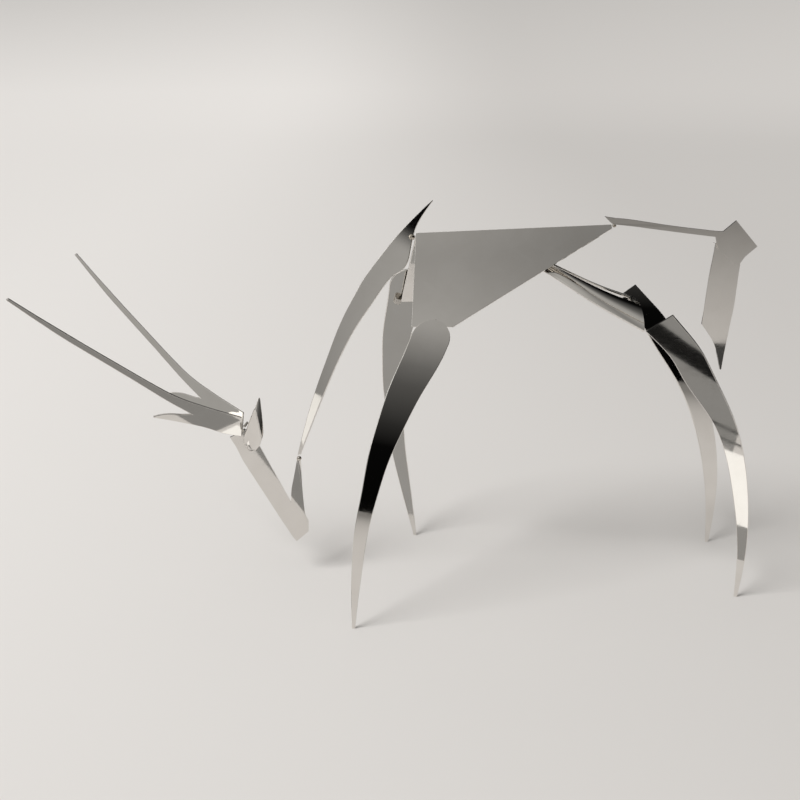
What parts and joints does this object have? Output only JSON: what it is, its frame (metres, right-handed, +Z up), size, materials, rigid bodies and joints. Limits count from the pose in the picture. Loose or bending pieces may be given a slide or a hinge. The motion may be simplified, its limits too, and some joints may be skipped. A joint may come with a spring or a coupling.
{
  "type": "steel deer sculpture",
  "caption": "Grazing deer figure welded from flat and bent mirror-polished stainless steel sheet, with head lowered and forked antlers.",
  "frame": {"origin": "on the floor, at the middle of the figure's outline seen from above", "axes": "+Z up; -X towards the head; +Y towards the deer's right side"},
  "size_m": [0.7804, 0.2846, 0.4343],
  "materials": {
    "polished_steel": "mirror-polished stainless steel sheet",
    "ground_steel": "ground and heat-tinted stainless rod"
  },
  "bodies": {
    "root": {"neck": "polished_steel", "head": "polished_steel", "hip_crossbar": "ground_steel", "croup": "polished_steel", "tail": "polished_steel", "left_antler": "polished_steel", "left_ear": "polished_steel", "left_flank": "polished_steel", "left_foreleg": "polished_steel", "left_shoulder_stud": "ground_steel", "left_thigh": "polished_steel", "left_hind_leg": "polished_steel", "left_ear_pin": "ground_steel", "right_antler": "polished_steel", "right_ear": "polished_steel", "right_flank": "polished_steel", "right_foreleg": "polished_steel", "right_shoulder_stud": "ground_steel", "right_thigh": "polished_steel", "right_hind_leg": "polished_steel", "right_ear_pin": "ground_steel"}
  },
  "joints": []
}
